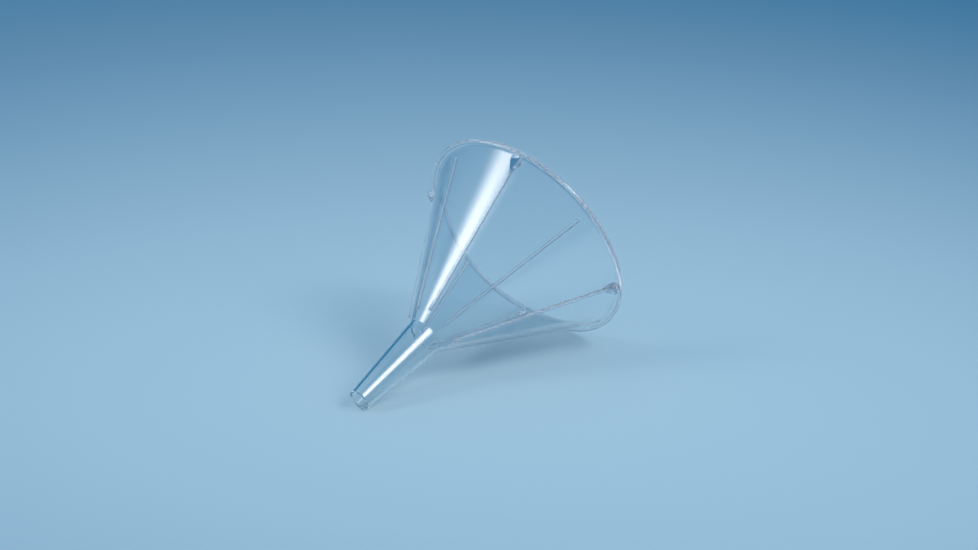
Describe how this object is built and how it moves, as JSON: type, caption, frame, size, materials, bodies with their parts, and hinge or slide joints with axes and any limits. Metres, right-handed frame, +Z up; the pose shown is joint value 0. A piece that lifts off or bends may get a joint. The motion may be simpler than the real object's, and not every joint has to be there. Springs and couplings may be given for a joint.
{
  "type": "filling funnel",
  "caption": "Clear moulded plastic laboratory funnel with a 60 degree cone, tapered stem, beaded rim, thin ribs and small lugs under the rim, lying on its side.",
  "frame": {"origin": "on the table surface, under the centre of the bounding box of the funnel as it lies", "axes": "+Z up from the table; +X level, from the stem tip towards the mouth; the funnel's own axis lies in the XZ plane and rises at 22.4 degrees from the stem tip to the mouth; +Y completes the frame, and lug_1 touches the table on the +Y side"},
  "size_m": [0.1229, 0.1, 0.0926],
  "materials": {
    "clear_plastic": "water-clear injection-moulded styrene plastic, polished, with a faint cool tint"
  },
  "bodies": {
    "root": {"cone_wall": "clear_plastic", "rim_flange": "clear_plastic", "rim_bead": "clear_plastic", "stem_tube": "clear_plastic", "outer_rib_1": "clear_plastic", "outer_rib_2": "clear_plastic", "outer_rib_3": "clear_plastic", "outer_rib_4": "clear_plastic", "inner_rib_1": "clear_plastic", "inner_rib_2": "clear_plastic", "inner_rib_3": "clear_plastic", "inner_rib_4": "clear_plastic", "lug_1": "clear_plastic", "lug_2": "clear_plastic", "lug_3": "clear_plastic", "lug_4": "clear_plastic"}
  },
  "joints": []
}
